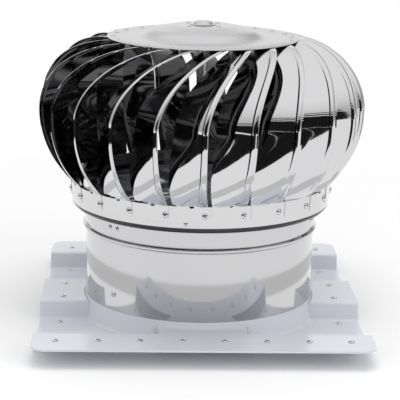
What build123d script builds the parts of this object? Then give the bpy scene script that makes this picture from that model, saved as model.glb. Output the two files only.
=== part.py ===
"""Roof turbine ventilator: a vaned rotor that spins on a fixed shaft above a ribbed roof flashing.

Origin on the turbine's axis, level with the underside of the flashing's pans; +Z up, and the
flashing's ribs run along X. Angles round the axis are counted from -Y towards +X. Millimetres.
"""
import os
from math import asin, cos, degrees, radians, sin

from build123d import *

os.makedirs("parts", exist_ok=True)

# Flashing: a moulded sheet that follows the roof's ribs
flashing_width = 498.6
flashing_length = 579.2
flashing_wall = 3.0
flashing_corner = 22.0
rib_height = 27.0
rib_pitch = 275.8
rib_top_width = 121.0
rib_slope = 7.0
rib_bend = 4.0
bridge_top_width = 134.0

# Reach of cutting shapes past the sheet they cut
cut_margin = 2.0

# Screw holes in the flashing
screw_hole = 6.0
strip_hole_spacing = 61.5
strip_hole_count = 8
strip_hole_rows = 500.0
rib_hole_columns = 430.0
rib_hole_rows = 69.0

# Throat: pipe over the flashing's collar, with a bead and a second band above it
throat_diameter = 360.0
throat_wall = 0.8
throat_bottom_z = 35.0
throat_top_z = 198.0
bead_z = 145.0
bead_height = 4.0
bead_depth = 4.0
band_bottom_z = 153.0
band_wall = 1.6

# Collar of the flashing
collar_clearance = 0.3
collar_top_z = 75.0
collar_shoulder = 1.0
collar_flare = 5.0
collar_foot_bend = 5.0

# Rotor ring
ring_overhang = 22.8
ring_taper = 2.4
ring_wall = 1.0
ring_top_z = 219.0
ring_lip_z = 186.0
ring_lip_radius = 9.0
ring_lip_turn = 120.0

# Vanes: twisted strips from a foot tab on the ring to a top tab under the cap
vane_count = 22
vane_wall = 0.8
vane_bulge = 48.6
equator_z = 330.0
vane_foot_width = 52.0
vane_width = 66.0
vane_top_width = 28.0
vane_foot_lead = 1.3
vane_sweep = 28.5
vane_sweep_growth = 1.85
vane_pitch = 56.0
vane_foot_fade = 1.5
vane_top_fade = 4.0
vane_crown = 0.5
vane_top_crown = 0.1
vane_bead_edge = 2.2
vane_bead_width = 9.0
vane_bead_height = 2.2
vane_fold_margin = 0.1
vane_seat_gap = 0.3
vane_tab_height = 24.0
vane_tab_length = 20.0
vane_tab_taper = 6.0
vane_stations = (-1, -0.6, -0.2, 0.2, 0.55, 0.82, 1)

# Top cap: flat rim, ogee step, low dome and a level seat for the bearing housing
cap_rim_z = 440.0
cap_rim_radius = 148.4
cap_wall = 1.0
cap_step_radius = 97.0
cap_dome_radius = 80.0
cap_dome_z = 451.0
cap_bends = (35.0, 35.0, 60.0)
cap_seat_radius = 44.0
cap_seat_z = 458.0
cap_hole_radius = 12.5

# Knob: dust cover over the shaft's end
knob_flange_radius = 20.0
knob_radius = 15.5
knob_top_radius = 8.0
knob_draft = 1.5
knob_height = 9.5
knob_wall = 1.0

# Shaft and sealed ball bearings
shaft_diameter = 15.0
shaft_thread_diameter = 12.0
shaft_thread_length = 28.0
bearing_diameter = 35.0
bearing_width = 11.0
race_wall = 3.2
race_gap = 0.1
seal_wall = 0.8
upper_bearing_z = 436.0
lower_bearing_z = 207.0
shaft_collar_height = 8.0
nut_across_flats = 19.0
nut_height = 8.0

# Bearing housings
housing_wall = 2.5
housing_shoulder = 2.0
housing_flange_wall = 1.5
upper_flange_radius = 36.0
lower_flange_radius = 29.0
lower_lip_gap = 0.3

# Spiders: bent strap arms from a centre plate to the pipe or ring that carries their feet
spider_arms = 3
spider_start = -47.5
spider_foot_height = 22.0
spider_plate_radius = 32.0
spider_foot_gap = 0.05
arm_width = 22.0
arm_wall = 2.5
arm_bend = 4.0
hub_diameter = 34.0
hub_neck_diameter = 21.0
hub_neck_height = 10.0
fixed_plate_z = 170.0

throat_radius = throat_diameter / 2
throat_bore = throat_radius - throat_wall
collar_radius = throat_bore - collar_clearance
collar_bore = collar_radius - flashing_wall
flare_radius = throat_radius + collar_shoulder
rib_top_z = rib_height + flashing_wall
band_radius = throat_radius + band_wall
ring_top_radius = band_radius + ring_overhang
rotor_radius = ring_top_radius + vane_bulge
ring_foot_radius = ring_top_radius - ring_taper
vane_top_z = cap_rim_z - cap_wall - vane_seat_gap
shoulder_radius = vane_top_z - equator_z
tab_wall = vane_wall + 2 * vane_fold_margin
fold_radius = ring_top_radius + tab_wall - vane_fold_margin
skirt_rise = equator_z - ring_top_z
skirt_inset = rotor_radius - fold_radius
skirt_radius = (skirt_rise**2 + skirt_inset**2) / (2 * skirt_inset)
skirt_angle = degrees(asin(skirt_rise / skirt_radius))


def rib_points(top_width, reach):
    """Top surface of a rib and the pans beside it, as a line from -reach to +reach."""
    top, foot = top_width / 2, top_width / 2 + rib_slope
    return [
        (-reach, flashing_wall),
        (-foot, flashing_wall),
        (-top, rib_top_z),
        (top, rib_top_z),
        (foot, flashing_wall),
        (reach, flashing_wall),
    ]


def rib_void(top_width):
    """Corners of the hollow under a rib, from just below the sheet up to its underside."""
    top, foot = top_width / 2 - flashing_wall, top_width / 2 + rib_slope - flashing_wall
    below = -cut_margin
    return [(-foot, below), (foot, below), (foot, 0), (top, rib_height), (-top, rib_height),
            (-foot, 0)]


with BuildPart() as flashing:
    half_length = flashing_length / 2
    end_rib = rib_pitch - rib_top_width / 2
    with BuildSketch(Plane.YZ):
        with BuildLine():
            FilletPolyline(
                (-half_length, rib_top_z),
                (-end_rib, rib_top_z),
                (-end_rib + rib_slope, flashing_wall),
                *rib_points(rib_top_width, 0)[1:5],
                (end_rib - rib_slope, flashing_wall),
                (end_rib, rib_top_z),
                (half_length, rib_top_z),
                radius=rib_bend,
            )
            offset(amount=flashing_wall, side=Side.RIGHT)
        make_face()
    extrude(amount=flashing_width / 2, both=True)
    fillet(flashing.edges().filter_by(Axis.Z), flashing_corner)
    # Level bridge from strip to strip, which the collar interrupts
    with BuildSketch(Plane.XZ):
        with BuildLine():
            FilletPolyline(*rib_points(bridge_top_width, bridge_top_width / 2 + 3 * rib_slope),
                           radius=rib_bend)
            offset(amount=flashing_wall, side=Side.RIGHT)
        make_face()
    extrude(amount=end_rib + flashing_wall, both=True)
    with BuildSketch(Plane.XZ):
        Polygon(*rib_void(bridge_top_width), align=None)
    extrude(amount=end_rib + flashing_wall, both=True, mode=Mode.SUBTRACT)
    with BuildSketch(Plane.XY.offset(-cut_margin)):
        Circle(flare_radius + collar_flare - flashing_wall)
    extrude(amount=rib_top_z + 2 * cut_margin, mode=Mode.SUBTRACT)
    # Collar: flared wall, shoulder under the throat pipe, sleeve inside it
    with BuildSketch(Plane.XZ):
        with BuildLine():
            Polyline(
                (flare_radius + collar_flare + collar_foot_bend, flashing_wall),
                (flare_radius + collar_flare, flashing_wall + collar_foot_bend),
                (flare_radius, throat_bottom_z),
                (collar_radius, throat_bottom_z),
                (collar_radius, collar_top_z),
            )
            offset(amount=flashing_wall, side=Side.LEFT)
        make_face()
    revolve(axis=Axis.Z)
    with BuildSketch(Plane.YZ):
        Polygon(*rib_void(rib_top_width), align=None)
    extrude(amount=flashing_width / 2, both=True, mode=Mode.SUBTRACT)
    with BuildSketch(Plane.XY.offset(-cut_margin)):
        with GridLocations(strip_hole_spacing, strip_hole_rows, strip_hole_count, 2):
            Circle(screw_hole / 2)
        with GridLocations(rib_hole_columns, rib_hole_rows, 2, 2):
            Circle(screw_hole / 2)
    extrude(amount=rib_top_z + 2 * cut_margin, mode=Mode.SUBTRACT)

# Throat pipe: stands on the collar's shoulder, with a bead rolled outwards near its top
with BuildPart() as throat_pipe:
    with BuildSketch(Plane.XZ):
        with BuildLine():
            Polyline(
                (throat_radius, throat_bottom_z),
                (throat_radius, bead_z - bead_height),
                (throat_radius + bead_depth, bead_z - bead_height / 2),
                (throat_radius + bead_depth, bead_z + bead_height / 2),
                (throat_radius, bead_z + bead_height),
                (throat_radius, throat_top_z),
            )
            offset(amount=throat_wall, side=Side.LEFT)
        make_face()
    revolve(axis=Axis.Z)

with BuildPart() as throat_band:
    with BuildSketch(Plane.XY.offset(band_bottom_z)):
        Circle(band_radius)
        Circle(throat_radius, mode=Mode.SUBTRACT)
    extrude(amount=throat_top_z - band_bottom_z)


def spider(plate_z, wall_radius, wall_slope, bore_radius):
    """Centre plate with arms that reach a round wall and bend down along it."""
    reach = (wall_radius**2 - (arm_width / 2) ** 2) ** 0.5 - spider_foot_gap
    foot = (reach - wall_slope * spider_foot_height, plate_z - spider_foot_height)
    with BuildPart() as body:
        with BuildSketch(Plane.XY.offset(plate_z - arm_wall)):
            Circle(spider_plate_radius)
        extrude(amount=arm_wall)
        for arm in range(spider_arms):
            outward = Vector(1, 0, 0).rotate(Axis.Z, spider_start - 90 + arm * 360 / spider_arms)
            with BuildSketch(Plane((0, 0, 0), x_dir=outward, z_dir=outward.cross(Vector(0, 0, 1)))):
                with BuildLine():
                    FilletPolyline((hub_diameter / 2, plate_z), (reach, plate_z), foot,
                                   radius=arm_bend)
                    offset(amount=arm_wall, side=Side.RIGHT)
                make_face()
            extrude(amount=arm_width / 2, both=True)
        with BuildSketch(Plane.XY.offset(plate_z - arm_wall)):
            Circle(bore_radius)
        extrude(amount=arm_wall, mode=Mode.SUBTRACT)
    return body.part


fixed_spider = spider(fixed_plate_z, throat_bore, 0, shaft_thread_diameter / 2)

# Shaft: shouldered at both ends, with a threaded end through the fixed plate and one in the cap
inner_race_radius = shaft_diameter / 2 + race_wall
lower_face_z = lower_bearing_z - bearing_width / 2
upper_face_z = upper_bearing_z + bearing_width / 2
with BuildPart() as shaft:
    with BuildSketch(Plane.XY.offset(fixed_plate_z)):
        Circle(shaft_diameter / 2)
    extrude(amount=upper_face_z - fixed_plate_z)
    with BuildSketch(Plane.XY.offset(fixed_plate_z - arm_wall - shaft_thread_length / 2)):
        Circle(shaft_thread_diameter / 2)
    extrude(amount=shaft_thread_length / 2 + arm_wall)
    with BuildSketch(Plane.XY.offset(upper_face_z)):
        Circle(shaft_thread_diameter / 2)
    extrude(amount=shaft_thread_length / 2)
    chamfer(shaft.faces().sort_by(Axis.Z)[-1].edges(), 1)
    chamfer(shaft.faces().sort_by(Axis.Z)[0].edges(), 1)

# Hub: bush on the fixed plate, with a neck that carries the lower inner race
with BuildPart() as shaft_hub:
    with BuildSketch(Plane.XZ):
        Polygon(
            (shaft_diameter / 2, fixed_plate_z),
            (hub_diameter / 2, fixed_plate_z),
            (hub_diameter / 2, lower_face_z - hub_neck_height),
            (hub_neck_diameter / 2, lower_face_z - hub_neck_height),
            (hub_neck_diameter / 2, lower_face_z),
            (shaft_diameter / 2, lower_face_z),
            align=None,
        )
    revolve(axis=Axis.Z)


def bush(bottom_z, height, outer_radius, inner_radius):
    """Plain ring on the turbine's axis."""
    with BuildPart() as body:
        with BuildSketch(Plane.XY.offset(bottom_z)):
            Circle(outer_radius)
            Circle(inner_radius, mode=Mode.SUBTRACT)
        extrude(amount=height)
    return body.part


def nut(bottom_z):
    """Hexagon nut on a threaded end of the shaft."""
    with BuildPart() as body:
        with BuildSketch(Plane.XY.offset(bottom_z)):
            RegularPolygon(nut_across_flats / 2, 6, major_radius=False)
            Circle(shaft_thread_diameter / 2, mode=Mode.SUBTRACT)
        extrude(amount=nut_height)
    return body.part


def inner_race(centre_z):
    return bush(centre_z - bearing_width / 2, bearing_width, inner_race_radius,
                shaft_diameter / 2)


def outer_race(centre_z):
    """Outer race with the two seals that close the bearing."""
    bottom_z = centre_z - bearing_width / 2
    with BuildPart() as body:
        with BuildSketch(Plane.XY.offset(bottom_z)):
            Circle(bearing_diameter / 2)
            Circle(inner_race_radius + race_gap, mode=Mode.SUBTRACT)
        extrude(amount=bearing_width)
        with BuildSketch(Plane.XY.offset(bottom_z + seal_wall)):
            Circle(bearing_diameter / 2 - race_wall)
            Circle(inner_race_radius + race_gap, mode=Mode.SUBTRACT)
        extrude(amount=bearing_width - 2 * seal_wall, mode=Mode.SUBTRACT)
    return body.part


lower_inner_race = inner_race(lower_bearing_z)
upper_inner_race = inner_race(upper_bearing_z)
lower_outer_race = outer_race(lower_bearing_z)
upper_outer_race = outer_race(upper_bearing_z)
shaft_collar = bush(upper_bearing_z - bearing_width / 2 - shaft_collar_height,
                    shaft_collar_height, hub_neck_diameter / 2, shaft_diameter / 2)
top_nut = nut(upper_face_z)
lower_nut = nut(fixed_plate_z - arm_wall - nut_height)

# Rotor ring: tapered band that ends below in a rolled lip
with BuildPart() as rotor_ring:
    with BuildSketch(Plane.XZ):
        with BuildLine():
            Line((ring_top_radius, ring_top_z), (ring_foot_radius, ring_lip_z))
            CenterArc((ring_foot_radius - ring_lip_radius, ring_lip_z), ring_lip_radius,
                      0, -ring_lip_turn)
            offset(amount=ring_wall, side=Side.RIGHT)
        make_face()
    revolve(axis=Axis.Z)

# Rotor spider and lower bearing housing
ring_slope = ring_taper / (ring_top_z - ring_lip_z)
rotor_plate_z = lower_bearing_z + bearing_width / 2 + arm_wall
seat_radius = ring_top_radius - ring_wall - ring_slope * (ring_top_z - rotor_plate_z)
rotor_spider = spider(rotor_plate_z, seat_radius, ring_slope,
                      bearing_diameter / 2 - race_wall)
with BuildPart() as lower_housing:
    top_z = rotor_plate_z - arm_wall
    foot_z = lower_face_z - lower_lip_gap
    wall_radius = bearing_diameter / 2 + housing_wall
    with BuildSketch(Plane.XZ):
        Polygon(
            (bearing_diameter / 2, top_z),
            (lower_flange_radius, top_z),
            (lower_flange_radius, top_z - housing_flange_wall),
            (wall_radius, top_z - housing_flange_wall),
            (wall_radius, foot_z - housing_flange_wall),
            (bearing_diameter / 2 - housing_shoulder, foot_z - housing_flange_wall),
            (bearing_diameter / 2 - housing_shoulder, foot_z),
            (bearing_diameter / 2, foot_z),
            align=None,
        )
    revolve(axis=Axis.Z)

# Upper bearing housing: hangs under the cap and rests on the upper outer race
with BuildPart() as upper_housing:
    seat_z = cap_seat_z - cap_wall
    with BuildSketch(Plane.XZ):
        Polygon(
            (bearing_diameter / 2 - housing_shoulder, seat_z),
            (upper_flange_radius, seat_z),
            (upper_flange_radius, seat_z - housing_flange_wall),
            (wall_radius, seat_z - housing_flange_wall),
            (wall_radius, upper_bearing_z - bearing_width / 2),
            (bearing_diameter / 2, upper_bearing_z - bearing_width / 2),
            (bearing_diameter / 2, upper_face_z),
            (bearing_diameter / 2 - housing_shoulder, upper_face_z),
            align=None,
        )
    revolve(axis=Axis.Z)

# Top cap
with BuildPart() as top_cap:
    with BuildSketch(Plane.XZ):
        with BuildLine():
            FilletPolyline(
                (cap_rim_radius, cap_rim_z),
                (cap_step_radius, cap_rim_z),
                (cap_dome_radius, cap_dome_z),
                (cap_seat_radius, cap_seat_z),
                (cap_hole_radius, cap_seat_z),
                radius=cap_bends,
            )
            offset(amount=cap_wall, side=Side.LEFT)
        make_face()
    revolve(axis=Axis.Z)

with BuildPart() as knob:
    foot_z = cap_seat_z + knob_wall
    knob_top_z = cap_seat_z + knob_height
    with BuildSketch(Plane.XZ):
        with BuildLine():
            Polyline(
                (knob_flange_radius, foot_z),
                (knob_radius, foot_z),
                (knob_radius - knob_draft, knob_top_z - 2 * knob_wall),
                (knob_top_radius, knob_top_z),
                (0, knob_top_z),
                (0, knob_top_z - knob_wall),
                (knob_top_radius, knob_top_z - knob_wall),
                (knob_radius - knob_draft - knob_wall, knob_top_z - 3 * knob_wall),
                (knob_radius - knob_wall, foot_z - knob_wall),
                (knob_flange_radius, foot_z - knob_wall),
                close=True,
            )
        make_face()
    revolve(axis=Axis.Z)


def on_edge(along):
    """Free edge of a vane: -1 at its fold, 0 at the equator, 1 under the cap.

    Returns the point, the slope of the rotor's outline there and the angle round the axis.
    """
    if along > 0:
        bend, slope, sweep = shoulder_radius, 90 * along, vane_sweep * along**vane_sweep_growth
    else:
        bend, slope, sweep = skirt_radius, skirt_angle * along, vane_foot_lead * along**4
    radius = rotor_radius - bend + bend * cos(radians(slope))
    height = equator_z + bend * sin(radians(slope))
    return Vector(0, -radius, height).rotate(Axis.Z, sweep), slope, sweep


def station(along, pitch):
    """Plane across the vane, with X from its free edge to its inner edge and Y outwards."""
    point, slope, sweep = on_edge(along)
    step = 0.001
    run = on_edge(min(along + step, 1))[0] - on_edge(max(along - step, -1))[0]
    if along == -1:
        run, slope = Vector(0, 0, 1), 0
    outward = Vector(0, -cos(radians(slope)), sin(radians(slope))).rotate(Axis.Z, sweep)
    aside = outward.cross(run.normalized())
    chord = aside * cos(radians(pitch)) - outward * sin(radians(pitch))
    return Plane(point, x_dir=chord, z_dir=run)


foot_turn = degrees(vane_foot_width / fold_radius)
with BuildPart() as vane:
    for along in vane_stations:
        if along < 0:
            fade, taper = abs(along) ** vane_foot_fade, along**2
            end_pitch, end_width = foot_turn / 2, vane_foot_width
            end_crown = fold_radius * (1 - cos(radians(foot_turn / 2)))
        else:
            fade = taper = along**vane_top_fade
            end_pitch, end_width, end_crown = 0, vane_top_width, vane_top_crown
        pitch = vane_pitch + (end_pitch - vane_pitch) * fade
        width = vane_width + (end_width - vane_width) * taper
        crown = vane_crown + (end_crown - vane_crown) * taper
        rise = vane_bead_height * (1 - along**4)
        ridge = [vane_bead_edge + vane_bead_width * share for share in (0, 0.5, 1)]
        bow = lambda x: 4 * crown * x / width * (1 - x / width)
        with BuildSketch(station(along, pitch)):
            with BuildLine():
                Polyline(
                    (0, 0),
                    (ridge[0], bow(ridge[0])),
                    (ridge[1], bow(ridge[1]) + rise),
                    (ridge[2], bow(ridge[2])),
                )
                middle = (ridge[2] + width) / 2
                ThreePointArc((ridge[2], bow(ridge[2])), (middle, bow(middle)), (width, 0))
                Line((width, 0), (width, -vane_wall))
                ThreePointArc((width, -vane_wall), (width / 2, crown - vane_wall),
                              (0, -vane_wall))
                Line((0, -vane_wall), (0, 0))
            make_face()
    loft()
    # Foot tab on the outside of the ring
    tab_z = ring_top_z - vane_tab_height
    tab_radius = ring_top_radius - ring_slope * vane_tab_height
    margin_turn = degrees(vane_fold_margin / fold_radius)
    side = Vector(0, -1, 0).rotate(Axis.Z, vane_foot_lead - foot_turn - margin_turn)
    with BuildSketch(Plane((0, 0, 0), x_dir=side, z_dir=side.cross(Vector(0, 0, 1)))):
        Polygon(
            (tab_radius, tab_z),
            (tab_radius + tab_wall, tab_z),
            (ring_top_radius + tab_wall, ring_top_z),
            (ring_top_radius, ring_top_z),
            align=None,
        )
    revolve(axis=Axis.Z, revolution_arc=foot_turn + 2 * margin_turn)
    # Top tab under the cap
    top = station(1, 0)
    tab_top = top.origin - Vector(0, 0, vane_fold_margin)
    with BuildSketch(Plane(tab_top, x_dir=top.x_dir, z_dir=(0, 0, -1))):
        Polygon(
            (vane_fold_margin, 0),
            (vane_top_width - vane_fold_margin, 0),
            (vane_top_width - vane_tab_taper, vane_tab_length),
            (vane_tab_taper, vane_tab_length),
            align=None,
        )
    extrude(amount=vane_wall - 2 * vane_fold_margin)

pieces = {
    "flashing": flashing.part,
    "throat_pipe": throat_pipe.part,
    "throat_band": throat_band.part,
    "fixed_spider": fixed_spider,
    "shaft": shaft.part,
    "shaft_hub": shaft_hub.part,
    "shaft_collar": shaft_collar,
    "lower_inner_race": lower_inner_race,
    "upper_inner_race": upper_inner_race,
    "lower_outer_race": lower_outer_race,
    "upper_outer_race": upper_outer_race,
    "top_nut": top_nut,
    "lower_nut": lower_nut,
    "rotor_ring": rotor_ring.part,
    "rotor_spider": rotor_spider,
    "lower_housing": lower_housing.part,
    "upper_housing": upper_housing.part,
    "top_cap": top_cap.part,
    "knob": knob.part,
}
for index in range(vane_count):
    with BuildPart() as turned_vane:
        add(vane.part, rotation=(0, 0, index * 360 / vane_count))
    pieces[f"vane_{index + 1:02d}"] = turned_vane.part
for name, piece in pieces.items():
    piece.label = name
    export_step(piece, f"parts/{name}.step")
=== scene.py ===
"""Looks of the roof turbine ventilator: polished vane rotor, satin throat and moulded flashing.

The part's lengths are in millimetres and become metres in the mesh helpers; the stage's are in
metres. Angles round the turbine's axis are counted from -Y towards +X, in degrees.
"""
from math import asin, atan2, cos, degrees, pi, radians, sin, tan

import bmesh
import bpy
from mathutils import Matrix, Vector


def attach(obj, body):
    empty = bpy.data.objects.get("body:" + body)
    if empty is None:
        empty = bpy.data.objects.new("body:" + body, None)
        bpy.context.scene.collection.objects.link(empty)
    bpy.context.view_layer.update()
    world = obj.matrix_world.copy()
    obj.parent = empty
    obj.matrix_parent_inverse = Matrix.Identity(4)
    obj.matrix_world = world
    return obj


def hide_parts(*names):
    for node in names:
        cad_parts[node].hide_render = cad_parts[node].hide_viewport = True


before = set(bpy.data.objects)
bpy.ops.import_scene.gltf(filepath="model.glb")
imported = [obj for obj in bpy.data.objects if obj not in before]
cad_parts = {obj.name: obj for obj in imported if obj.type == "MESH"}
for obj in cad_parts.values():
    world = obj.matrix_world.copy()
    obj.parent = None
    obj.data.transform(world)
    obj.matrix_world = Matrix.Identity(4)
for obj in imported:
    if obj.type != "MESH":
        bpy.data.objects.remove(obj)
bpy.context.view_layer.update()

MM = 0.001
FULL_TURN = 360.0
UP = Vector((0, 0, 1))

# Rotor: its vanes
VANE_COUNT = 22
VANE_WALL = 0.8
ROTOR_RADIUS = 253.0
EQUATOR_Z = 330.0
FOOT_WIDTH, MIDDLE_WIDTH, TOP_WIDTH = 52.0, 66.0, 28.0
FOOT_LEAD = 1.3
SWEEP, SWEEP_GROWTH = 28.5, 1.85
# The solids' vanes have a pitch of 56; this one is nearer to the photograph
PITCH = 46.0
FOOT_FADE, TOP_FADE = 1.5, 4.0
CROWN, TOP_CROWN = 0.5, 0.1
BEAD_EDGE, BEAD_WIDTH, BEAD_HEIGHT, BEAD_FULLNESS = 2.2, 9.0, 2.2, 0.9
TAB_HEIGHT, TAB_LENGTH, TAB_TAPER, TAB_GAP = 24.0, 20.0, 6.0, 0.9
TAB_CORNER = 3.0

# Rotor: its ring, cap and knob, with the cap's and knob's bends in the order of their outlines
RING_TOP_RADIUS, RING_TAPER, RING_WALL = 204.4, 2.4, 1.0
RING_TOP_Z, RING_LIP_Z, RING_LIP_RADIUS, RING_LIP_TURN = 219.0, 186.0, 9.0, 120.0
LIP_SHADE_RISE = 2.5
CAP_RIM_Z, CAP_RIM_RADIUS, CAP_WALL = 440.0, 148.4, 1.0
CAP_STEP_RADIUS, CAP_DOME_RADIUS, CAP_DOME_Z = 97.0, 80.0, 451.0
CAP_SEAT_RADIUS, CAP_SEAT_Z, CAP_HOLE_RADIUS = 44.0, 458.0, 12.5
CAP_BENDS = (60.0, 35.0, 35.0)
SEAT_GAP = 0.3
KNOB_FLANGE, KNOB_RADIUS, KNOB_TOP_RADIUS, KNOB_DRAFT = 20.0, 15.5, 9.0, 2.0
# The solid knob is 9.5 high; this height is nearer to the photograph
KNOB_HEIGHT, KNOB_WALL, KNOB_POLE = 6.5, 1.0, 0.18
KNOB_BENDS = (12.0, 2.6, 0.8)

# Base
THROAT_RADIUS, THROAT_WALL, THROAT_BOTTOM, THROAT_TOP = 180.0, 0.8, 35.0, 198.0
BEAD_Z, BEAD_HALF, BEAD_DEPTH, BEAD_FILLET, BEAD_FOOT_FILLET = 145.0, 4.0, 4.0, 1.6, 1.2
BAND_BOTTOM, BAND_WALL = 153.0, 1.6
SHEET_TOP, RIB_TOP = 3.0, 30.0

# Rivets and screws: heads as (radius, height), then their places
FOOT_RIVET, SMALL_RIVET, CAP_RIVET, SCREW = (4.9, 2.4), (3.6, 1.8), (3.6, 1.6), (4.8, 2.4)
HEAD_SKIRT = 0.6
HOLE_SHARE, HOLE_FLOOR_SHARE, HOLE_DEPTH_SHARE, HOLE_MARGIN = 0.28, 0.85, 0.2, 1.01
FOOT_RIVET_TURN, FOOT_RIVET_Z = 6.0, 205.0
SEAM_RIVET_TURNS, SEAM_RIVET_INSET, SEAM_RIVET_Z = (-7.7, 172.3), 2.0, 192.4
CAP_RIVET_RADIUS, CAP_RIVET_TURN = 138.0, 27.0
KNOB_RIVET_COUNT, KNOB_RIVET_RADIUS, KNOB_RIVET_TURN = 4, 32.0, 45.0
SPIDER_ARMS = 3
BAND_RIVET_TURN, BAND_RIVET_SPREAD, BAND_RIVET_Z = -47.5, 2.5, 165.0
THROAT_SCREW_COUNT, THROAT_SCREW_TURN, THROAT_SCREW_Z = 3, -48.0, 60.0
STRIP_SCREWS_A_SIDE, STRIP_SCREW_SPACING, STRIP_SCREW_Y = 4, 61.5, 250.0
RIB_SCREW_X, RIB_SCREW_Y = 215.0, 34.5
PAN_SCREW_X, PAN_SCREW_ROWS = 217.5, (84.0, 196.6)

# Sampling of the meshes
LATHE_STEPS, ARC_STEPS, LIP_STEPS, HEAD_STEPS, CARD_STEPS = 240, 8, 18, 28, 96
SKIRT_ROWS, SHOULDER_ROWS, FOOT_TAB_ROWS, TOP_TAB_ROWS = 44, 40, 8, 4
BEAD_STEPS, CHORD_STEPS = 16, 14
EDGE_STEP = 0.001
HEAD_ARC_DEGREES = range(0, 91, 10)
HOLE_POINTS = 3
WELD_REACH = 1e-6
SMOOTH_ANGLE, HEAD_SMOOTH_ANGLE = 35.0, 50.0

# Stage, in metres and degrees
FLOOR_WIDTH, FLOOR_NEAR, FLOOR_FAR = 80.0, 0.55, 1.3
MAT_INNER, MAT_OUTER, MAT_HEIGHT = 1.0, 3.4, 0.0005
MAT_START, MAT_END = 100.0, 380.0
RING_INNER, RING_OUTER, RING_HEIGHT = 0.36, 0.445, 0.0006
WALL_WIDTH, WALL_TOP, WALL_SHIFT = 10.0, 2.1, -1.2
LINE_AHEAD = 0.02
LOW_LINE_DROP, LOW_LINE_HEIGHT = 0.50, 0.09
HIGH_LINE_DROP, HIGH_LINE_HEIGHT = 0.20, 0.10
DARK_SHADE, GREY_SHADE, WHITE_SHADE = 0.012, 0.7, 1.0

# World: the direction in which it is dimmer, and its least level for light on matt surfaces
DIM_X, DIM_Y = 0.79, 0.61
FILL_LEVEL = 0.42

VANE_STEP = FULL_TURN / VANE_COUNT
TOP_GAP_Z = CAP_RIM_Z - CAP_WALL - SEAT_GAP
SHOULDER_RADIUS = TOP_GAP_Z - EQUATOR_Z
RING_SLOPE = RING_TAPER / (RING_TOP_Z - RING_LIP_Z)
FOLD_RADIUS = RING_TOP_RADIUS + TAB_GAP
SKIRT_RISE = EQUATOR_Z - RING_TOP_Z
SKIRT_INSET = ROTOR_RADIUS - FOLD_RADIUS
SKIRT_RADIUS = (SKIRT_RISE**2 + SKIRT_INSET**2) / (2 * SKIRT_INSET)
SKIRT_ANGLE = degrees(asin(SKIRT_RISE / SKIRT_RADIUS))
FOOT_TURN = degrees(FOOT_WIDTH / FOLD_RADIUS)


# ---------------------------------------------------------------- meshes

def around(radius, angle, height):
    """Point at an angle round the axis."""
    return Vector((radius * sin(radians(angle)), -radius * cos(radians(angle)), height))


def grid_faces(rows, columns, close_rows=False):
    """Quads of a grid of points, with the last row joined to the first where asked."""
    last = rows if close_rows else rows - 1
    return [
        (r * columns + c, r * columns + c + 1,
         (r + 1) % rows * columns + c + 1, (r + 1) % rows * columns + c)
        for r in range(last) for c in range(columns - 1)
    ]


def place(name, data):
    """Object of a mesh, lamp or camera, linked to the scene."""
    thing = bpy.data.objects.new(name, data)
    bpy.context.scene.collection.objects.link(thing)
    return thing


def finished(mesh, material, sharp=SMOOTH_ANGLE):
    """The mesh with doubled points joined, shaded smooth up to an angle, in one material."""
    work = bmesh.new()
    work.from_mesh(mesh)
    bmesh.ops.remove_doubles(work, verts=work.verts, dist=WELD_REACH)
    work.to_mesh(mesh)
    work.free()
    mesh.shade_smooth()
    mesh.set_sharp_from_angle(angle=radians(sharp))
    mesh.materials.clear()
    mesh.materials.append(material)
    return mesh


def new_piece(name, points, faces, material, sharp=SMOOTH_ANGLE):
    """Object from points in millimetres."""
    mesh = bpy.data.meshes.new(name)
    mesh.from_pydata([p * MM for p in points], [], faces)
    return place(name, finished(mesh, material, sharp))


def rounded(points, radii):
    """Line through points with its inner corners turned to arcs."""
    line = [Vector(points[0])]
    for before, corner, after, radius in zip(points, points[1:], points[2:], radii):
        corner = Vector(corner)
        back = (Vector(before) - corner).normalized()
        ahead = (Vector(after) - corner).normalized()
        half = back.angle(ahead) / 2
        reach = radius / tan(half)
        centre = corner + (back + ahead).normalized() * radius / sin(half)
        start = corner + back * reach - centre
        end = corner + ahead * reach - centre
        first = atan2(start.y, start.x)
        turn = start.angle_signed(end)
        for step in range(ARC_STEPS + 1):
            angle = first - turn * step / ARC_STEPS
            line.append(centre + Vector((cos(angle), sin(angle))) * radius)
    line.append(Vector(points[-1]))
    return line


def thickened(line, wall):
    """Closed outline of a sheet: the line, and the same line moved to its right by the wall."""
    line = [Vector(p) for p in line]
    moved = []
    for index, point in enumerate(line):
        before = line[max(index - 1, 0)]
        after = line[min(index + 1, len(line) - 1)]
        run = (after - before).normalized()
        moved.append(point + Vector((run.y, -run.x)) * wall)
    return line + moved[::-1]


def lathe(name, outline, material):
    """Round piece from a closed outline of (radius, height) points."""
    loop = outline + outline[:1]
    points = [around(r, FULL_TURN * step / LATHE_STEPS, z)
              for step in range(LATHE_STEPS) for r, z in loop]
    faces = grid_faces(LATHE_STEPS, len(loop), close_rows=True)
    return new_piece(name, points, faces, material)


def fit(piece, body, slot, *nodes):
    """Rides the piece on its body and lets it stand for its solids."""
    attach(piece, body)
    if nodes:
        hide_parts(*nodes)


# ---------------------------------------------------------------- materials

def new_material(name):
    """A material with its node tree and its shader."""
    material = bpy.data.materials.new(name)
    material.use_nodes = True
    tree = material.node_tree
    return material, tree, tree.nodes["Principled BSDF"]


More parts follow.
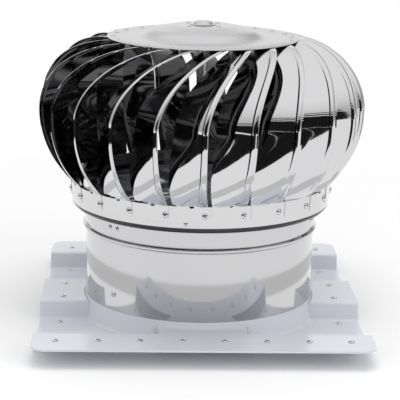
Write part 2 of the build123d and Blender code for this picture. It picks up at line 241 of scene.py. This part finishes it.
def noise(tree, scale, detail, stretch=(1, 1, 1)):
    """Noise over the object's own space, stretched along chosen axes."""
    coordinates = tree.nodes.new("ShaderNodeTexCoord")
    mapping = tree.nodes.new("ShaderNodeMapping")
    mapping.inputs["Scale"].default_value = stretch
    texture = tree.nodes.new("ShaderNodeTexNoise")
    texture.inputs["Scale"].default_value = scale
    texture.inputs["Detail"].default_value = detail
    tree.links.new(coordinates.outputs["Object"], mapping.inputs["Vector"])
    tree.links.new(mapping.outputs["Vector"], texture.inputs["Vector"])
    return texture.outputs["Fac"]


def map_range(tree, source, start, end, low, high, interpolation="LINEAR"):
    """Source turned from low at start to high at end, and held outside them."""
    span = tree.nodes.new("ShaderNodeMapRange")
    span.interpolation_type = interpolation
    span.inputs["From Min"].default_value = start
    span.inputs["From Max"].default_value = end
    span.inputs["To Min"].default_value = low
    span.inputs["To Max"].default_value = high
    tree.links.new(source, span.inputs["Value"])
    return span.outputs["Result"]


def node_math(tree, operation, first, second):
    """Result of an operation on two inputs, each a number or another node's output."""
    node = tree.nodes.new("ShaderNodeMath")
    node.operation = operation
    for socket, value in zip(node.inputs, (first, second)):
        if isinstance(value, float):
            socket.default_value = value
        else:
            tree.links.new(value, socket)
    return node.outputs[0]


def blend_colours(tree, source, first, second):
    """Colour between two, from a source between 0 and 1."""
    mix = tree.nodes.new("ShaderNodeMix")
    mix.data_type = "RGBA"
    mix.inputs[6].default_value = (*first, 1)
    mix.inputs[7].default_value = (*second, 1)
    tree.links.new(source, mix.inputs[0])
    return mix.outputs[2]


def bump(tree, source, depth, strength=0.05):
    """Surface relief of that depth in metres, from a source between 0 and 1."""
    node = tree.nodes.new("ShaderNodeBump")
    node.inputs["Strength"].default_value = strength
    node.inputs["Distance"].default_value = depth / strength
    tree.links.new(source, node.inputs["Height"])
    return node.outputs["Normal"]


def brush(tree, shader, amount):
    """Spreads reflections up and down, as a surface brushed round the axis does."""
    shader.inputs["Anisotropic"].default_value = amount
    shader.inputs["Anisotropic Rotation"].default_value = 0.25
    tangent = tree.nodes.new("ShaderNodeTangent")
    tangent.direction_type = "RADIAL"
    tangent.axis = "Z"
    tree.links.new(tangent.outputs["Tangent"], shader.inputs["Tangent"])


def metal(name, shades, roughness, grain, stretch=(1, 1, 1), depth=0.0, wave=None, brushed=0.0):
    """Steel between two shades, its roughness varied by a fine grain.

    Its relief is that grain, depth metres deep, or else a wave given as (scale, depth).
    """
    material, tree, shader = new_material(name)
    shader.inputs["Metallic"].default_value = 1.0
    if brushed:
        brush(tree, shader, brushed)
    fine = noise(tree, grain, 4.0, stretch)
    colour = blend_colours(tree, noise(tree, 6.0, 2.0), *shades)
    tree.links.new(colour, shader.inputs["Base Color"])
    varied = map_range(tree, fine, 0.3, 0.7, *roughness)
    tree.links.new(varied, shader.inputs["Roughness"])
    relief = bump(tree, noise(tree, wave[0], 2.0), wave[1]) if wave else bump(tree, fine, depth)
    tree.links.new(relief, shader.inputs["Normal"])
    return material


# The steels of the vanes' backs, the lip and the pin holes are painted shade, darker than the
# metal is, for the dark inside and the shade that the photograph shows there
vane_steel = metal("polished_vane_steel", ((0.66, 0.66, 0.67), (0.71, 0.71, 0.72)),
                   roughness=(0.035, 0.075), grain=900.0, stretch=(1, 1, 0.1),
                   wave=(14.0, 0.0006))
vane_back_painted_shade_steel = metal("vane_back_painted_shade_steel", ((0.08, 0.08, 0.082), (0.11, 0.11, 0.112)),
                        roughness=(0.06, 0.10), grain=900.0, stretch=(1, 1, 0.1),
                        depth=0.00001)
ring_steel = metal("polished_ring_steel", ((0.66, 0.66, 0.67), (0.72, 0.72, 0.73)),
                   roughness=(0.10, 0.16), grain=700.0, stretch=(0.2, 0.2, 1),
                   wave=(18.0, 0.0012), brushed=0.3)
lip_painted_shade_steel = metal("painted_shade_lip_steel", ((0.05, 0.05, 0.05), (0.09, 0.09, 0.09)),
                  roughness=(0.10, 0.16), grain=700.0, stretch=(0.2, 0.2, 1), depth=0.00001)
throat_steel = metal("satin_throat_steel", ((0.60, 0.60, 0.61), (0.64, 0.64, 0.65)),
                     roughness=(0.05, 0.08), grain=900.0, stretch=(0.02, 0.02, 1),
                     depth=0.000002, brushed=0.3)
cap_steel = metal("satin_cap_steel", ((0.62, 0.62, 0.63), (0.70, 0.70, 0.71)),
                  roughness=(0.24, 0.36), grain=500.0, depth=0.00001)
pin_hole_painted_shade_steel = metal("painted_shade_pin_hole_steel", ((0.02, 0.02, 0.02), (0.03, 0.03, 0.03)),
                       roughness=(0.4, 0.5), grain=300.0, depth=0.00001)
zinc_steel = metal("zinc_plated_steel", ((0.46, 0.47, 0.49), (0.62, 0.63, 0.65)),
                   roughness=(0.30, 0.45), grain=220.0, depth=0.00003)
bright_steel = metal("bright_fastener_steel", ((0.70, 0.70, 0.71), (0.82, 0.82, 0.83)),
                     roughness=(0.12, 0.20), grain=600.0, depth=0.000008)


def moulded_plastic():
    """Glossy white plastic with a faint cool tint and the soft orange peel of a moulding."""
    material, tree, shader = new_material("glossy_flashing_plastic")
    shader.inputs["Coat Weight"].default_value = 0.35
    shader.inputs["Coat Roughness"].default_value = 0.08
    shader.inputs["Roughness"].default_value = 0.26
    colour = blend_colours(tree, noise(tree, 5.0, 2.0), (0.63, 0.645, 0.705), (0.64, 0.655, 0.715))
    tree.links.new(colour, shader.inputs["Base Color"])
    peel = bump(tree, noise(tree, 120.0, 0.0), 0.00002)
    tree.links.new(peel, shader.inputs["Normal"])
    return material


flashing_plastic = moulded_plastic()


# ---------------------------------------------------------------- vanes

def on_edge(along):
    """Free edge of a vane at -1 (its fold), 0 (the equator) or 1 (under the cap) and between.

    Also the slope of the edge's arc and its angle round the axis.
    """
    if along > 0:
        bend = SHOULDER_RADIUS
        slope = 90 * along
        sweep = SWEEP * along**SWEEP_GROWTH
    else:
        bend = SKIRT_RADIUS
        slope = SKIRT_ANGLE * along
        sweep = FOOT_LEAD * along**4
    radius = ROTOR_RADIUS - bend + bend * cos(radians(slope))
    height = EQUATOR_Z + bend * sin(radians(slope))
    return around(radius, sweep, height), slope, sweep


def section(along):
    """Pitch, width, crown and bead height of a vane's section."""
    if along < 0:
        fade = abs(along) ** FOOT_FADE
        taper = along**2
        end_pitch = FOOT_TURN / 2
        end_width = FOOT_WIDTH
        end_crown = FOLD_RADIUS * (1 - cos(radians(FOOT_TURN / 2)))
    else:
        fade = taper = along**TOP_FADE
        end_pitch = 0
        end_width = TOP_WIDTH
        end_crown = TOP_CROWN
    pitch = PITCH + (end_pitch - PITCH) * fade
    width = MIDDLE_WIDTH + (end_width - MIDDLE_WIDTH) * taper
    crown = CROWN + (end_crown - CROWN) * taper
    return pitch, width, crown, BEAD_HEIGHT * (1 - along**4)


def across(width):
    """Distances from the free edge at which a section is sampled, dense over the bead."""
    bead = [BEAD_EDGE + BEAD_WIDTH * step / BEAD_STEPS for step in range(BEAD_STEPS + 1)]
    rest = [bead[-1] + (width - bead[-1]) * step / CHORD_STEPS
            for step in range(1, CHORD_STEPS + 1)]
    return [0.0, BEAD_EDGE / 2] + bead + rest


def vane_row(along):
    """Outer face of a vane across one station, from its free edge, and its chord's direction."""
    pitch, width, crown, rise = section(along)
    point, slope, sweep = on_edge(along)
    run = on_edge(min(along + EDGE_STEP, 1))[0] - on_edge(max(along - EDGE_STEP, -1))[0]
    if along == -1:
        run = UP.copy()
        slope = 0
    run.normalize()
    outward = around(cos(radians(slope)), sweep, sin(radians(slope)))
    aside = outward.cross(run)
    chord = aside * cos(radians(pitch)) - outward * sin(radians(pitch))
    normal = run.cross(chord)
    row = []
    for x in across(width):
        share = min(max((x - BEAD_EDGE) / BEAD_WIDTH, 0), 1)
        ridge = rise * sin(pi * share) ** BEAD_FULLNESS
        bow = 4 * crown * x / width * (1 - x / width)
        row.append(point + chord * x + normal * (bow + ridge))
    return row, chord


def foot_tab_row(z):
    """Row of the foot tab at a height, on the ring's taper, its lower corners cut back."""
    inset = max(0.0, TAB_CORNER - (z - RING_TOP_Z + TAB_HEIGHT)) / FOOT_WIDTH
    radius = RING_TOP_RADIUS - RING_SLOPE * (RING_TOP_Z - z) + TAB_GAP
    shares = [x / FOOT_WIDTH for x in across(FOOT_WIDTH)]
    return [around(radius, FOOT_LEAD - FOOT_TURN * (inset + (1 - 2 * inset) * s), z)
            for s in shares]


def top_tab_rows():
    """Rows of the tab that runs in under the cap, its sides drawn in as it goes."""
    last, chord = vane_row(1)
    inward = (-UP).cross(chord)
    rows = []
    for step in range(1, TOP_TAB_ROWS + 1):
        reach = step / TOP_TAB_ROWS
        inset = TAB_TAPER * reach
        squeeze = 1 - 2 * inset / TOP_WIDTH
        rows.append([last[0] + chord * (inset + (p - last[0]).dot(chord) * squeeze)
                     + inward * TAB_LENGTH * reach for p in last])
    return rows


def vane_rows():
    """Rows of points from the bottom of the foot tab to the end of the top tab."""
    rows = [foot_tab_row(RING_TOP_Z - TAB_HEIGHT * (1 - step / FOOT_TAB_ROWS))
            for step in range(FOOT_TAB_ROWS)]
    rows += [vane_row(-1 + step / SKIRT_ROWS)[0] for step in range(SKIRT_ROWS)]
    rows += [vane_row(step / SHOULDER_ROWS)[0] for step in range(SHOULDER_ROWS + 1)]
    return rows + top_tab_rows()


def face_outward(work):
    """Turns all faces of the open sheet so that they look away from the axis."""
    bmesh.ops.recalc_face_normals(work, faces=work.faces)
    work.faces.ensure_lookup_table()
    middle = work.faces[len(work.faces) // 2]
    if middle.normal.dot(middle.calc_center_median() * Vector((1, 1, 0))) < 0:
        bmesh.ops.reverse_faces(work, faces=work.faces)
    work.normal_update()


def close_sheet(work):
    """Gives the open sheet its wall: an inner face in the second material, painted darker as
    shade, and a rim.
    """
    rim = [edge for edge in work.edges if edge.is_boundary]
    outer = list(work.faces)
    behind = {v: work.verts.new(v.co - v.normal * VANE_WALL * MM) for v in list(work.verts)}
    for face in outer:
        work.faces.new([behind[v] for v in reversed(face.verts)]).material_index = 1
    for edge in rim:
        loop = next(l for l in edge.link_faces[0].loops if l.edge == edge)
        a = loop.vert
        b = loop.link_loop_next.vert
        work.faces.new([b, a, behind[a], behind[b]])


def vane_mesh():
    """One vane as a closed sheet, its outer face sampled and its inner face a wall behind it."""
    rows = vane_rows()
    points = [p * MM for row in rows for p in row]
    mesh = bpy.data.meshes.new("vane_sheet")
    mesh.from_pydata(points, [], grid_faces(len(rows), len(rows[0])))
    work = bmesh.new()
    work.from_mesh(mesh)
    face_outward(work)
    close_sheet(work)
    work.to_mesh(mesh)
    work.free()
    mesh.shade_smooth()
    mesh.set_sharp_from_angle(angle=radians(SMOOTH_ANGLE))
    mesh.materials.append(vane_steel)
    # The second material is painted shade on the vane's inner face
    mesh.materials.append(vane_back_painted_shade_steel)
    return mesh


vane_sheet = vane_mesh()
for index in range(VANE_COUNT):
    turned = vane_sheet.copy()
    turned.transform(Matrix.Rotation(radians(index * VANE_STEP), 4, "Z"))
    vane = place(f"polished_vane_{index + 1:02d}", turned)
    fit(vane, "rotor", "vane_steel", f"vane_{index + 1:02d}")


# ---------------------------------------------------------------- round pieces of the rotor

def ring_outline():
    """The tapered rotor ring with the bull-nose lip at its foot."""
    foot_radius = RING_TOP_RADIUS - RING_TAPER
    line = [(RING_TOP_RADIUS, RING_TOP_Z), (foot_radius, RING_LIP_Z)]
    for step in range(1, LIP_STEPS + 1):
        turn = radians(RING_LIP_TURN * step / LIP_STEPS)
        line.append((foot_radius - RING_LIP_RADIUS * (1 - cos(turn)),
                     RING_LIP_Z - RING_LIP_RADIUS * sin(turn)))
    return thickened(line, RING_WALL)


def polished_ring():
    """The ring, its lip in a darker steel that is painted shade for the shade under it."""
    ring = lathe("polished_ring", ring_outline(), ring_steel)
    ring.data.materials.append(lip_painted_shade_steel)
    # Faces low on the lip take the painted shade
    for face in ring.data.polygons:
        face.material_index = int(face.center.z < (RING_LIP_Z + LIP_SHADE_RISE) * MM)
    return ring


def cap_outline():
    """The cap from the hole at its middle to the thinned edge of its rim."""
    line = rounded([(CAP_HOLE_RADIUS, CAP_SEAT_Z), (CAP_SEAT_RADIUS, CAP_SEAT_Z),
                    (CAP_DOME_RADIUS, CAP_DOME_Z), (CAP_STEP_RADIUS, CAP_RIM_Z),
                    (CAP_RIM_RADIUS - CAP_WALL / 2, CAP_RIM_Z)], CAP_BENDS)
    line += [Vector((CAP_RIM_RADIUS, CAP_RIM_Z - CAP_WALL / 3))]
    return thickened(line, CAP_WALL)


def knob_outline():
    """The knob, closed at its top, with a flange that lies on the cap."""
    foot = CAP_SEAT_Z + KNOB_WALL
    top = CAP_SEAT_Z + KNOB_HEIGHT
    line = rounded([(KNOB_POLE, top), (KNOB_TOP_RADIUS, top),
                    (KNOB_RADIUS - KNOB_DRAFT, top - 2 * KNOB_WALL),
                    (KNOB_RADIUS, foot), (KNOB_FLANGE, foot)], KNOB_BENDS)
    return [(0, top)] + thickened(line, KNOB_WALL) + [(0, top - KNOB_WALL)]


fit(polished_ring(), "rotor", "ring_steel", "rotor_ring")
fit(lathe("satin_cap", cap_outline(), cap_steel), "rotor", "cap_steel", "top_cap")
fit(lathe("satin_knob", knob_outline(), cap_steel), "rotor", "cap_steel", "knob")


# ---------------------------------------------------------------- pieces of the base

def throat_outline():
    """The throat's pipe with the bead swaged into it near its top."""
    line = rounded([(THROAT_RADIUS, THROAT_TOP), (THROAT_RADIUS, BEAD_Z + BEAD_HALF),
                    (THROAT_RADIUS + BEAD_DEPTH, BEAD_Z + BEAD_HALF / 2),
                    (THROAT_RADIUS + BEAD_DEPTH, BEAD_Z - BEAD_HALF / 2),
                    (THROAT_RADIUS, BEAD_Z - BEAD_HALF), (THROAT_RADIUS, THROAT_BOTTOM)],
                   (BEAD_FOOT_FILLET, BEAD_FILLET, BEAD_FILLET, BEAD_FOOT_FILLET))
    return thickened(line, THROAT_WALL)


def band_outline():
    """The band round the throat above its bead."""
    outside = THROAT_RADIUS + BAND_WALL
    return [(THROAT_RADIUS, THROAT_TOP), (outside, THROAT_TOP),
            (outside, BAND_BOTTOM), (THROAT_RADIUS, BAND_BOTTOM)]


def glossy_flashing():
    """The flashing's own shape, welded, its flats shaded flat and its bends smooth."""
    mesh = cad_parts["flashing"].data.copy()
    piece = place("glossy_flashing", finished(mesh, flashing_plastic))
    flats_first = piece.modifiers.new("flats_first", "WEIGHTED_NORMAL")
    flats_first.keep_sharp = True
    flats_first.weight = 100
    return piece


fit(lathe("satin_throat", throat_outline(), throat_steel), "base", "throat_steel", "throat_pipe")
fit(lathe("satin_band", band_outline(), throat_steel), "base", "throat_steel", "throat_band")
fit(glossy_flashing(), "base", "flashing_plastic", "flashing")

# Solids that are shown as they are, in the metals they are made of
NODE_METALS = {
    "fixed_spider": zinc_steel, "rotor_spider": zinc_steel, "shaft": bright_steel,
    "shaft_hub": zinc_steel, "shaft_collar": zinc_steel, "top_nut": bright_steel,
    "lower_nut": bright_steel, "lower_housing": zinc_steel, "upper_housing": zinc_steel,
    "lower_inner_race": bright_steel, "upper_inner_race": bright_steel,
    "lower_outer_race": bright_steel, "upper_outer_race": bright_steel,
}
for node, material in NODE_METALS.items():
    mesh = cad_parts[node].data
    mesh.materials.clear()
    mesh.materials.append(material)


# ---------------------------------------------------------------- rivets and screws

def dome(radius, height):
    """Outline of a domed head, from its crown down to just under its rim."""
    arc = [(radius * sin(radians(a)), height * cos(radians(a))) for a in HEAD_ARC_DEGREES]
    return arc + [(radius, -HEAD_SKIRT)]


def blind_rivet(radius, height):
    """Outline of a blind rivet's head, with the hole that its pin leaves."""
    hole = HOLE_SHARE * radius
    depth = HOLE_DEPTH_SHARE * height
    flank = [(hole + (radius - hole) * sin(radians(a)), height * cos(radians(a)))
             for a in HEAD_ARC_DEGREES]
    return [(0, -depth), (HOLE_FLOOR_SHARE * hole, -depth)] + flank + [(radius, -HEAD_SKIRT)]


def paint_hole_shade(piece, places, radius):
    """Puts dark metal, painted shade for the shade in the pin holes, on the faces that lie within
    a radius of their head's axis.
    """
    piece.data.materials.append(pin_hole_painted_shade_steel)
    axes = [(point * MM, facing.normalized()) for point, facing in places]
    for face in piece.data.polygons:
        centre, axis = min(axes, key=lambda nearest: (face.center - nearest[0]).length)
        from_axis = face.center - centre
        from_axis -= axis * from_axis.dot(axis)
        face.material_index = int(from_axis.length < radius)


def fasten(name, body, outline, places):
    """One piece of many turned heads, each at (point, direction it faces).

    The first points of a head's outline make its dark middle, which is painted shade.
    """
    points = []
    faces = []
    for point, facing in places:
        turn = facing.to_track_quat("Z", "Y").to_matrix()
        start = len(points)
        for step in range(HEAD_STEPS):
            angle = 2 * pi * step / HEAD_STEPS
            points += [point + turn @ Vector((r * cos(angle), r * sin(angle), z))
                       for r, z in outline]
        faces += [[start + corner for corner in face]
                  for face in grid_faces(HEAD_STEPS, len(outline), close_rows=True)]
    piece = new_piece(name, points, faces, bright_steel, HEAD_SMOOTH_ANGLE)
    # The pin holes' dark middles are painted shade
    paint_hole_shade(piece, places, outline[HOLE_POINTS - 1][0] * MM * HOLE_MARGIN)
    fit(piece, body, "bright_steel")


def on_wall(radius, angle, z):
    """Place on an upright round wall."""
    return around(radius, angle, z), around(1, angle, 0)


def on_cap(radius, angle, z):
    """Place on a level part of the cap."""
    return around(radius, angle, z), UP


def in_corners(x, y, z):
    """The same place on the flashing in all four of its quarters."""
    return [(Vector((x * side, y * end, z)), UP) for side in (-1, 1) for end in (-1, 1)]


def flashing_screw_places():
    """Screws in the flashing's two strips, on its ribs and in its pans."""
    places = []
    for column in range(STRIP_SCREWS_A_SIDE):
        places += in_corners((column + 0.5) * STRIP_SCREW_SPACING, STRIP_SCREW_Y, RIB_TOP)
    places += in_corners(RIB_SCREW_X, RIB_SCREW_Y, RIB_TOP)
    for row in PAN_SCREW_ROWS:
        places += in_corners(PAN_SCREW_X, row, SHEET_TOP)
    return places


tab_radius = RING_TOP_RADIUS - RING_SLOPE * (RING_TOP_Z - FOOT_RIVET_Z) + TAB_GAP
tab_turn = FOOT_LEAD - FOOT_TURN / 2
fasten("foot_rivets", "rotor", blind_rivet(*FOOT_RIVET),
       [on_wall(tab_radius, k * VANE_STEP + tab_turn + FOOT_RIVET_TURN, FOOT_RIVET_Z)
        for k in range(VANE_COUNT)])
fasten("seam_rivets", "rotor", blind_rivet(*SMALL_RIVET),
       [on_wall(RING_TOP_RADIUS - SEAM_RIVET_INSET, angle, SEAM_RIVET_Z)
        for angle in SEAM_RIVET_TURNS])
fasten("cap_rivets", "rotor", dome(*CAP_RIVET),
       [on_cap(CAP_RIVET_RADIUS, CAP_RIVET_TURN + k * VANE_STEP, CAP_RIM_Z)
        for k in range(VANE_COUNT)])
fasten("knob_rivets", "rotor", blind_rivet(*SMALL_RIVET),
       [on_cap(KNOB_RIVET_RADIUS, KNOB_RIVET_TURN + FULL_TURN / KNOB_RIVET_COUNT * k, CAP_SEAT_Z)
        for k in range(KNOB_RIVET_COUNT)])
fasten("band_rivets", "base", blind_rivet(*SMALL_RIVET),
       [on_wall(THROAT_RADIUS + BAND_WALL, BAND_RIVET_TURN + FULL_TURN / SPIDER_ARMS * k + side,
                BAND_RIVET_Z)
        for k in range(SPIDER_ARMS) for side in (-BAND_RIVET_SPREAD, BAND_RIVET_SPREAD)])
fasten("throat_screws", "base", blind_rivet(*SCREW),
       [on_wall(THROAT_RADIUS, THROAT_SCREW_TURN + FULL_TURN / THROAT_SCREW_COUNT * k,
                THROAT_SCREW_Z)
        for k in range(THROAT_SCREW_COUNT)])
fasten("flashing_screws", "base", blind_rivet(*SCREW), flashing_screw_places())


# ---------------------------------------------------------------- floor and world

def rectangle(name, width, height):
    """Flat mesh round the origin, facing up."""
    mesh = bpy.data.meshes.new(name)
    mesh.from_pydata([(x * width / 2, y * height / 2, 0)
                      for x, y in ((-1, -1), (1, -1), (1, 1), (-1, 1))], [], [(0, 1, 2, 3)])
    return mesh


def pale_floor():
    """Pale floor that keeps its shadow near the object and goes to white far from it.

    Reflections see it white all over.
    """
    material, tree, shader = new_material("pale_floor")
    shader.inputs["Base Color"].default_value = (0.86, 0.86, 0.86, 1)
    shader.inputs["Roughness"].default_value = 0.9
    shader.inputs["Specular IOR Level"].default_value = 0.1
    surface = tree.nodes.new("ShaderNodeNewGeometry")
    length = tree.nodes.new("ShaderNodeVectorMath")
    length.operation = "LENGTH"
    tree.links.new(surface.outputs["Position"], length.inputs[0])
    far = map_range(tree, length.outputs["Value"], FLOOR_NEAR, FLOOR_FAR, 0.0, 1.0)
    ray = tree.nodes.new("ShaderNodeLightPath")
    seen_far = node_math(tree, "MULTIPLY", ray.outputs["Is Camera Ray"], far)
    white_share = node_math(tree, "MAXIMUM", seen_far, ray.outputs["Is Glossy Ray"])
    white = tree.nodes.new("ShaderNodeEmission")
    white.inputs["Color"].default_value = (1, 1, 1, 1)
    white.inputs["Strength"].default_value = 1.0
    mix = tree.nodes.new("ShaderNodeMixShader")
    tree.links.new(white_share, mix.inputs[0])
    tree.links.new(shader.outputs[0], mix.inputs[1])
    tree.links.new(white.outputs[0], mix.inputs[2])
    tree.links.new(mix.outputs[0], tree.nodes["Material Output"].inputs["Surface"])
    return material


def lay_floor():
    """The floor on which the flashing stands."""
    mesh = rectangle("floor", FLOOR_WIDTH, FLOOR_WIDTH)
    mesh.materials.append(pale_floor())
    place("floor", mesh)


def graded_studio(tree):
    """Level of the studio in a direction: brighter above, and dimmer to the right and behind.

    Straight behind the object there is a plain white backdrop.
    """
    direction = tree.nodes.new("ShaderNodeTexCoord")
    part = tree.nodes.new("ShaderNodeSeparateXYZ")
    tree.links.new(direction.outputs["Generated"], part.inputs[0])
    dim_side = node_math(tree, "ADD", node_math(tree, "MULTIPLY", part.outputs["X"], DIM_X),
                         node_math(tree, "MULTIPLY", part.outputs["Y"], DIM_Y))
    side_share = map_range(tree, dim_side, 0.5, 0.9, 1.0, 0.6, "SMOOTHSTEP")
    height_share = map_range(tree, part.outputs["Z"], 0.05, 0.9, 0.5, 1.0, "SMOOTHSTEP")
    backdrop = map_range(tree, part.outputs["Y"], 0.86, 0.92, 0.0, 1.0, "SMOOTHSTEP")
    studio = node_math(tree, "MULTIPLY", side_share, height_share)
    return node_math(tree, "MAXIMUM", studio, backdrop)


def light_world():
    """World that is white to the camera and a graded studio to everything else.

    Light on matt surfaces comes from no part of it that is darker than the fill.
    """
    world = bpy.data.worlds.new("studio")
    bpy.context.scene.world = world
    world.use_nodes = True
    tree = world.node_tree
    level = graded_studio(tree)
    ray = tree.nodes.new("ShaderNodeLightPath")
    fill = node_math(tree, "MULTIPLY", ray.outputs["Is Diffuse Ray"], FILL_LEVEL)
    level = node_math(tree, "MAXIMUM", level, fill)
    level = node_math(tree, "MAXIMUM", level, ray.outputs["Is Camera Ray"])
    background = tree.nodes["Background"]
    background.inputs["Color"].default_value = (1, 1, 1, 1)
    tree.links.new(level, background.inputs["Strength"])


lay_floor()
light_world()


# ---------------------------------------------------------------- cards, lamps and camera

def card(name, mesh, shade):
    """Even grey surface seen only in reflections, as a studio flag or reflector is."""
    paint, tree, shader = new_material(name + "_paint")
    tree.nodes.remove(shader)
    emission = tree.nodes.new("ShaderNodeEmission")
    emission.inputs["Color"].default_value = (shade, shade, shade, 1)
    tree.links.new(emission.outputs[0], tree.nodes["Material Output"].inputs["Surface"])
    mesh.materials.append(paint)
    thing = place(name, mesh)
    thing.visible_camera = False
    thing.visible_diffuse = False
    thing.visible_shadow = False
    return thing


def floor_card(name, inner, outer, height, start, end, shade):
    """Card in the form of part of a ring, lying just above the floor."""
    points = [around(r, start + (end - start) * step / CARD_STEPS, height)
              for step in range(CARD_STEPS + 1) for r in (inner, outer)]
    mesh = bpy.data.meshes.new(name)
    mesh.from_pydata(points, [], grid_faces(CARD_STEPS + 1, 2))
    card(name, mesh, shade)


def wall_card(name, ahead, middle_z, height, shade):
    """Card that stands in front of the object, behind the camera, and faces the object."""
    thing = card(name, rectangle(name, WALL_WIDTH, height), shade)
    thing.rotation_euler = Vector((0, 1, 0)).to_track_quat("Z", "Y").to_euler()
    thing.location = (WALL_SHIFT, ahead - MAT_OUTER, middle_z)


def area(name, location, target, size, power):
    """Soft lamp that reflections don't show."""
    lamp = bpy.data.lights.new(name, "AREA")
    lamp.shape = "RECTANGLE"
    lamp.size, lamp.size_y = size
    lamp.energy = power
    light = place(name, lamp)
    light.location = location
    light.visible_glossy = False
    aim = Vector(target) - Vector(location)
    light.rotation_euler = aim.to_track_quat("-Z", "Y").to_euler()


def aim_camera(location, turn, drop, roll, focal_length):
    """Camera at a place, turned to the left, tipped down and rolled by angles in degrees."""
    turn, drop, roll = radians(turn), radians(drop), radians(roll)
    forward = Vector((-sin(turn) * cos(drop), cos(turn) * cos(drop), -sin(drop)))
    level_right = Vector((cos(turn), sin(turn), 0))
    level_up = level_right.cross(forward)
    right = level_right * cos(roll) + level_up * sin(roll)
    up = level_up * cos(roll) - level_right * sin(roll)
    lens = bpy.data.cameras.new("camera")
    lens.lens = focal_length
    lens.sensor_width = 36.0
    camera = place("camera", lens)
    axes = Matrix((right, up, -forward)).transposed()
    camera.matrix_world = Matrix.Translation(location) @ axes.to_4x4()
    bpy.context.scene.camera = camera


floor_card("dark_mat", MAT_INNER, MAT_OUTER, MAT_HEIGHT, MAT_START, MAT_END, DARK_SHADE)
floor_card("grey_ring_near", RING_INNER, RING_OUTER, RING_HEIGHT, 0.0, FULL_TURN, GREY_SHADE)
wall_card("dark_wall", 0.0, WALL_TOP / 2, WALL_TOP, DARK_SHADE)
wall_card("light_line_low", LINE_AHEAD, WALL_TOP - LOW_LINE_DROP, LOW_LINE_HEIGHT, WHITE_SHADE)
wall_card("light_line_high", LINE_AHEAD, WALL_TOP - HIGH_LINE_DROP, HIGH_LINE_HEIGHT,
          WHITE_SHADE)

area("soft_top", location=(0.2, -0.3, 3.0), target=(0, 0, 0.2), size=(2.4, 1.6), power=30)
area("soft_right", location=(2.4, -1.8, 1.6), target=(0, 0, 0.25), size=(1.4, 1.8), power=18)
area("soft_left_front", location=(-1.6, -2.6, 1.4), target=(0, 0, 0.2), size=(0.8, 1.6), power=9)

aim_camera(Vector((-0.0856, -2.3344, 0.755)), turn=-2.10, drop=13.84, roll=1.06,
           focal_length=136.64)
bpy.context.scene.view_settings.view_transform = "Standard"
